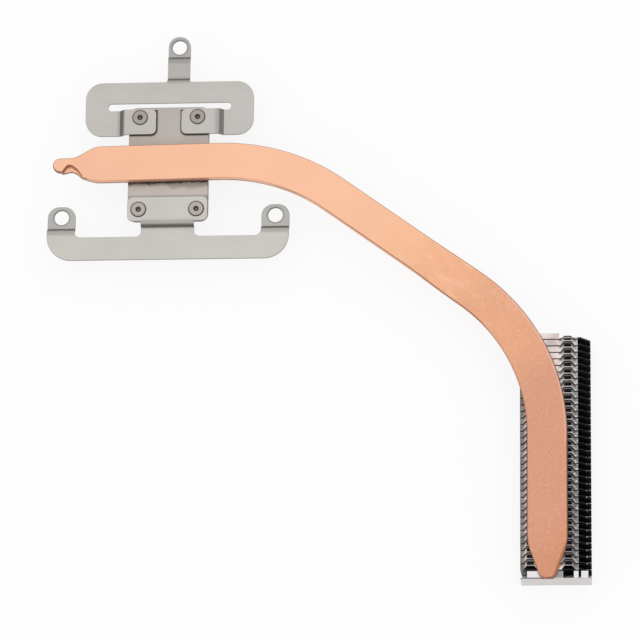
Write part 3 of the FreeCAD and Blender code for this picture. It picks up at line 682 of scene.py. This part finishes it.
class Pipe:
    """Axis and section of the flat heat pipe, by the distance from its left end."""

    def __init__(self):
        skew = math.radians(PIPE_SKEW)
        slope = -math.radians(DIAGONAL_ANGLE)
        down = -math.pi / 2
        start = Vector((0, PIPE_OFFSET)) + heading(skew) * PIPE_START
        first = Vector((0, PIPE_OFFSET)) + heading(skew) * PIPE_FIRST_CORNER
        second = first + heading(slope) * DIAGONAL_LENGTH
        first_tangent = FIRST_BEND_RADIUS * math.tan((skew - slope) / 2)
        second_tangent = SECOND_BEND_RADIUS * math.tan((slope - down) / 2)
        bend_start = first - heading(skew) * first_tangent
        bend_end = first + heading(slope) * first_tangent
        second_start = second - heading(slope) * second_tangent
        second_end = second + heading(down) * second_tangent
        self.runs = [
            (start, skew, (bend_start - start).length, None),
            (bend_start, skew, FIRST_BEND_RADIUS * (skew - slope), FIRST_BEND_RADIUS),
            (bend_end, slope, (second_start - bend_end).length, None),
            (second_start, slope, SECOND_BEND_RADIUS * (slope - down), SECOND_BEND_RADIUS),
            (second_end, down, second_end.y - STACK_END, None),
        ]
        self.length = sum(run[2] for run in self.runs)
        self.step_end = sum(run[2] for run in self.runs[:3]) - STEP_GAP

    def axis(self, at):
        """Point of the axis and its heading."""
        for point, angle, length, radius in self.runs:
            if at <= length or point is self.runs[-1][0]:
                break
            at -= length
        if radius is None:
            return point + heading(angle) * at, angle
        turn = at / radius
        centre = point + heading(angle - math.pi / 2) * radius
        return centre + heading(angle + math.pi / 2 - turn) * radius, angle - turn

    def stepped(self, at):
        """0 over the plate, 1 over the fins."""
        return s_curve((at - self.step_end + STEP_LENGTH) / STEP_LENGTH)

    def height(self, at):
        """Underside and thickness."""
        drawn = s_curve((at - STUB_END) / SHOULDER_LENGTH)
        thick = STUB_THICK + (PIPE_PLATE_THICK - STUB_THICK) * drawn
        thick += (PIPE_FIN_THICK - PIPE_PLATE_THICK) * self.stepped(at)
        return PLATE_TOP + STUB_LIFT * (1 - drawn), thick

    def half_width(self, at):
        """Half width without the crushed notch."""
        if at < STUB_RADIUS:
            return math.sqrt(STUB_RADIUS ** 2 - (STUB_RADIUS - at) ** 2)
        over_plate = flat_width(PIPE_PLATE_THICK) / 2
        over_fins = flat_width(PIPE_FIN_THICK) / 2
        drawn = s_curve((at - STUB_END) / SHOULDER_LENGTH)
        half = STUB_RADIUS + (over_plate - STUB_RADIUS) * drawn
        half += (over_fins - over_plate) * self.stepped(at)
        return min(half, self.nose(self.length - at, over_fins))

    def nose(self, left, full):
        """Half width near the right end: round tip corners, straight sides, and round shoulders."""
        slope = (full - NOSE_TIP_HALF) / NOSE_LENGTH
        lean = math.atan(slope)
        shoulder = NOSE_LENGTH + NOSE_SHOULDER_RADIUS * math.tan(lean / 2)
        if left > shoulder:
            return full
        if left > shoulder - NOSE_SHOULDER_RADIUS * math.sin(lean):
            rise = math.sqrt(NOSE_SHOULDER_RADIUS ** 2 - (shoulder - left) ** 2)
            return full - NOSE_SHOULDER_RADIUS + rise
        if left > NOSE_TIP_CORNER * (1 - math.sin(lean)):
            return NOSE_TIP_HALF + slope * left
        centre = NOSE_TIP_HALF - NOSE_TIP_CORNER * math.tan((math.pi / 2 - lean) / 2)
        return centre + math.sqrt(NOSE_TIP_CORNER ** 2 - (NOSE_TIP_CORNER - left) ** 2)

    def front_half_width(self, at):
        """Half width on the front side, which bulges at the shoulder and is crushed at the fill end."""
        fraction = min(max((at - STUB_END) / SHOULDER_LENGTH, 0.0), 1.0)
        half = self.half_width(at) + SHOULDER_BULGE * (1 - fraction) * math.sin(math.pi * fraction)
        if CRIMP_NOTCH[0][0] < at < CRIMP_NOTCH[-1][0]:
            half = min(half, along_points(CRIMP_NOTCH, at))
        return half

    def stations(self):
        """Distances for the mesh: close together at the round ends and in the notch."""
        turns = [math.radians(4.5 + 6 * i) for i in range(15)]
        places = [STUB_RADIUS * (1 - math.cos(turn)) for turn in turns]
        right_end = [self.length - NOSE_TIP_CORNER * (1 - math.cos(turn)) for turn in reversed(turns)]
        notch_end = CRIMP_NOTCH[-1][0] + 0.3
        while places[-1] < right_end[0] - 0.5:
            spacing = FINE_SPACING if places[-1] < notch_end else COARSE_SPACING
            places.append(places[-1] + spacing)
        return places + right_end


def rim_shares(outline):
    """Share of the rim's depth at each point of a clockwise outline: less beside sharp corners."""
    count = len(outline)
    gaps = [(outline[i] - outline[i - 1]).length for i in range(count)]
    rooms = []
    for i in range(count):
        before = outline[i] - outline[i - 1]
        after = outline[(i + 1) % count] - outline[i]
        turn = before.angle_signed(after)
        rooms.append(CORNER_ROOM * before.length / turn if turn > 0.0 else PIPE_FLAT)
    for _ in range(2):
        for i in range(count):
            rooms[i] = min(rooms[i], rooms[i - 1] + CORNER_EASE * gaps[i])
        for i in reversed(range(count)):
            rooms[i - 1] = min(rooms[i - 1], rooms[i] + CORNER_EASE * gaps[i])
    return [min(room / PIPE_FLAT, 1.0) for room in rooms]


def heat_pipe(pipe, material):
    """Flat pipe with rounded sides: its outline, drawn in ring by ring towards top and underside."""
    places = pipe.stations()
    back, front = [], []
    for at in places:
        point, angle = pipe.axis(at)
        across = heading(angle + math.pi / 2)
        back.append(point + across * pipe.half_width(at))
        front.append(point - across * pipe.front_half_width(at))
    outline = back + front[::-1]
    heights = [pipe.height(at) for at in places]
    heights += heights[::-1]
    count = len(outline)
    inward = []
    for i in range(count):
        tangent = (outline[(i + 1) % count] - outline[i - 1]).normalized()
        inward.append(Vector((tangent.y, -tangent.x)))
    shares = rim_shares(outline)
    steps = 12
    turns = [math.pi * (k / steps - 0.5) for k in range(steps + 1)]
    profile = [(PIPE_ROUND * (1 - math.cos(turn)), (1 + math.sin(turn)) / 2) for turn in turns]
    profile = [(PIPE_FLAT, 0.0)] + profile + [(PIPE_FLAT, 1.0)]
    rings = len(profile)
    points = []
    for inset, rise in profile:
        for point, away, share, (base, thick) in zip(outline, inward, shares, heights):
            place = point + away * (inset * share)
            points.append((place.x, place.y, base + thick * rise))
    faces = []
    for k in range(rings - 1):
        low, high = k * count, (k + 1) * count
        for i in range(count):
            j = (i + 1) % count
            faces.append((low + i, high + i, high + j, low + j))
    top = (rings - 1) * count
    for i in range(len(places) - 1):
        across = (count - 1 - i, count - 2 - i, i + 1, i)
        faces.append(tuple(top + corner for corner in across))
        faces.append(tuple(reversed(across)))
    return add_mesh("flat_pipe", points, faces, material)


def crimp_fold(pipe, material):
    """Crushed wall that is left under the notch of the fill end, a thin wavy fold."""
    steps, columns = 40, 8
    start, end = CRIMP_FOLD[0][0], CRIMP_FOLD[-1][0]
    under = PLATE_TOP + STUB_LIFT + CRIMP_FOLD_LIFT
    points = []
    for side in (0, 1):
        for i in range(steps + 1):
            at = start + (end - start) * i / steps
            point, angle = pipe.axis(at)
            across = heading(angle + math.pi / 2)
            outer = along_points(CRIMP_FOLD, at)
            for j in range(columns + 1):
                share = j / columns
                place = point - across * (outer * share)
                wave = CRIMP_WAVE * noise.noise(Vector((at * 1.6, share * 2.0, 4.0)))
                wave -= CRIMP_DROOP * share ** 3
                points.append((place.x, place.y, under + side * (CRIMP_FOLD_THICK + wave)))
    row = columns + 1
    layer = (steps + 1) * row
    faces = []
    for i in range(steps):
        for j in range(columns):
            a = i * row + j
            faces.append((a, a + row, a + row + 1, a + 1))
            faces.append((layer + a + 1, layer + a + row + 1, layer + a + row, layer + a))
    rim = list(range(columns))
    rim += [i * row + columns for i in range(steps)]
    rim += [steps * row + j for j in range(columns, 0, -1)]
    rim += [i * row for i in range(steps, 0, -1)]
    for a, b in zip(rim, rim[1:] + rim[:1]):
        faces.append((a, b, layer + b, layer + a))
    return add_mesh("crimp_fold", points, faces, material)


def flux_bead(material):
    """Uneven bead of flux in the groove between the plate and the pipe's front side."""
    steps = 170
    slope = math.tan(math.radians(PIPE_SKEW))
    half = flat_width(PIPE_PLATE_THICK) / 2
    rows = []
    for i in range(steps + 1):
        x = -PLATE_HALF_WIDTH + 2 * PLATE_HALF_WIDTH * i / steps
        edge = PIPE_OFFSET + x * slope - half
        wander = noise.noise(Vector((x * 0.55, 3.1, 0.0)))
        wander += 0.7 * noise.noise(Vector((x * 2.3, 7.7, 0.0)))
        reach = max(FLUX_LEAST_REACH, FLUX_REACH + FLUX_REACH_WANDER * wander)
        swell = noise.noise(Vector((x * 0.9, 1.3, 5.0)))
        height = max(FLUX_LEAST_HEIGHT, FLUX_HEIGHT + FLUX_HEIGHT_WANDER * swell)
        rows.append([
            (x, edge + PIPE_ROUND, PLATE_TOP),
            (x, edge + PIPE_ROUND * 0.5, PLATE_TOP + height),
            (x, edge - reach * 0.35, PLATE_TOP + height * 0.55),
            (x, edge - reach * 0.75, PLATE_TOP + height * 0.28),
            (x, edge - reach, PLATE_TOP),
        ])
    count = len(rows[0])
    points = [point for row in rows for point in row]
    faces = [tuple(reversed(range(count))), tuple(range(steps * count, steps * count + count))]
    for i in range(steps):
        left, right = i * count, (i + 1) * count
        for j in range(count):
            k = (j + 1) % count
            faces.append((left + j, left + k, right + k, right + j))
    return add_mesh("flux_bead", points, faces, material)


def floor_material():
    """White table: rays that look at it see mostly plain white, with part of the shadow kept, but not
    under the fins, whose gaps stay dark."""
    tree = Tree("white_table")
    tree.finish((0.92, 0.92, 0.92, 1.0), 0.9, 0.0)
    rays = tree.add("ShaderNodeLightPath")
    seen = tree.most(*(rays.outputs[f"Is {kind} Ray"] for kind in ("Camera", "Glossy", "Transmission")))
    beside_fins = tree.most(
        tree.fall(tree.x, STACK_LEFT, STACK_LEFT + 0.1),
        tree.span(tree.x, STACK_RIGHT - 0.1, STACK_RIGHT),
        tree.fall(tree.y, STACK_END, STACK_END + 0.1),
        tree.span(tree.y, STACK_START - 0.1, STACK_START),
    )
    white = tree.add("ShaderNodeEmission")
    white.inputs["Strength"].default_value = 1.0
    mix = tree.add("ShaderNodeMixShader")
    tree.link(tree.times(seen, beside_fins, WHITE_SHARE), mix.inputs["Fac"])
    tree.link(tree.shader.outputs["BSDF"], mix.inputs[1])
    tree.link(white.outputs["Emission"], mix.inputs[2])
    tree.link(mix.outputs["Shader"], tree.nodes["Material Output"].inputs["Surface"])
    return tree.material


def floor(level):
    half = FLOOR_HALF_WIDTH
    corners = [(-half, -half, level), (half, -half, level), (half, half, level), (-half, half, level)]
    mesh = bpy.data.meshes.new("floor")
    mesh.from_pydata(corners, [], [(0, 1, 2, 3)])
    mesh.materials.append(floor_material())
    plane = bpy.data.objects.new("floor", mesh)
    bpy.context.scene.collection.objects.link(plane)
    return plane


def world():
    """White overhead, greyer towards the horizon; the camera sees plain white."""
    sky = bpy.data.worlds.new("studio")
    bpy.context.scene.world = sky
    sky.use_nodes = True
    nodes, links = sky.node_tree.nodes, sky.node_tree.links
    background = nodes["Background"]
    place = nodes.new("ShaderNodeTexCoord")
    split = nodes.new("ShaderNodeSeparateXYZ")
    links.new(place.outputs["Generated"], split.inputs["Vector"])
    ramp = nodes.new("ShaderNodeValToRGB")
    ramp.color_ramp.elements[0].position = 0.0
    ramp.color_ramp.elements[0].color = (0.62, 0.62, 0.62, 1.0)
    ramp.color_ramp.elements[1].position = 0.75
    ramp.color_ramp.elements[1].color = (1.0, 1.0, 1.0, 1.0)
    links.new(split.outputs["Z"], ramp.inputs["Fac"])
    links.new(ramp.outputs["Color"], background.inputs["Color"])
    background.inputs["Strength"].default_value = 1.0


def lamp(name, toward, distance, size, power):
    """Soft square lamp that faces the part, with its distance and size in metres."""
    light = bpy.data.lights.new(name, "AREA")
    light.size = size
    light.energy = power
    lamp_object = bpy.data.objects.new(name, light)
    away = Vector(toward).normalized()
    lamp_object.location = CAMERA_TARGET + away * distance
    lamp_object.rotation_euler = away.to_track_quat("Z", "Y").to_euler()
    bpy.context.scene.collection.objects.link(lamp_object)


def camera():
    back = Vector((math.sin(CAMERA_RIGHT_TILT), -math.sin(CAMERA_FRONT_TILT), 0.0))
    back.z = math.sqrt(1 - back.length_squared)
    up = (Vector((0, 1, 0)) - back * back.y).normalized()
    right = up.cross(back)
    turn = Matrix.Rotation(CAMERA_ROLL, 3, back)
    right, up = turn.inverted() @ right, turn.inverted() @ up
    data = bpy.data.cameras.new("camera")
    data.sensor_width = SENSOR
    data.lens = SENSOR * CAMERA_DISTANCE / FIELD_WIDTH
    data.clip_start = 0.01
    data.clip_end = 10.0
    shot = bpy.data.objects.new("camera", data)
    place = Matrix((right, up, back)).transposed().to_4x4()
    place.translation = CAMERA_TARGET + back * CAMERA_DISTANCE
    shot.matrix_world = place
    bpy.context.scene.collection.objects.link(shot)
    bpy.context.scene.camera = shot


def main():
    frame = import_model()
    cad_low, cad_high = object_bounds()
    dress(frame["nodes"])
    pipe = Pipe()
    bare_copper = copper()
    tube = heat_pipe(pipe, bare_copper)
    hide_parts("heat_pipe")
    pieces = [
        (tube, "copper"),
        (crimp_fold(pipe, bare_copper), "copper"),
        (flux_bead(flux_resin()), "plate_metal"),
    ]
    for piece, slot in pieces:
        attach(piece, "root")
    floor(cad_low.z)
    world()
    lamp("key", toward=(0.30, 0.60, 0.74), distance=0.9, size=0.8, power=0.6)
    lamp("fill", toward=(-0.6, -0.35, 0.72), distance=0.9, size=0.8, power=0.35)
    camera()
    bpy.context.scene.view_settings.view_transform = "Standard"


main()
